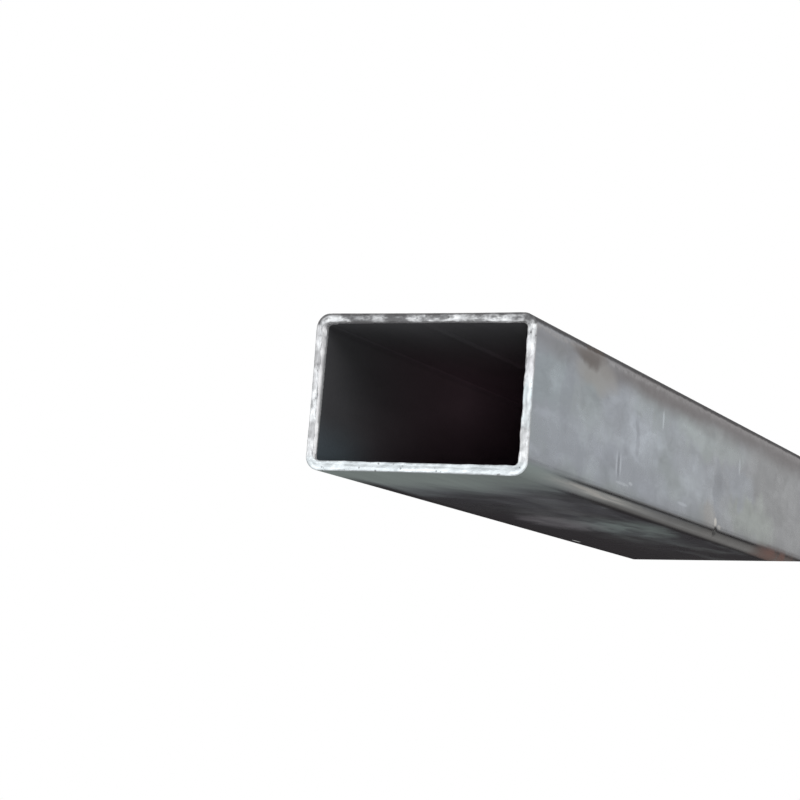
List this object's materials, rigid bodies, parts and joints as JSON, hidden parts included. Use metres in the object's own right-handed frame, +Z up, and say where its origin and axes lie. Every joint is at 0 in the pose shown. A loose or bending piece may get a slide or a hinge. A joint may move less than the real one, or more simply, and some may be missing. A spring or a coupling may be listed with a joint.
{
  "type": "rectangular steel tube",
  "caption": "Straight rectangular hollow section in bare steel, with rounded corners, an inner weld bead and square-cut open ends, for welded frames, posts and brackets.",
  "frame": {"origin": "on the underside of the tube, below the middle of its length and width", "axes": "+X across the wide faces, +Y along the tube, +Z up out of the upper wide face"},
  "size_m": [0.06, 1, 0.04],
  "materials": {
    "steel": "bare mill finish: dull blue-grey skin with faint rust stains and scuffs, dark oxide inside, bright rough saw-cut ends"
  },
  "bodies": {
    "root": {"tube": "steel"}
  },
  "joints": []
}
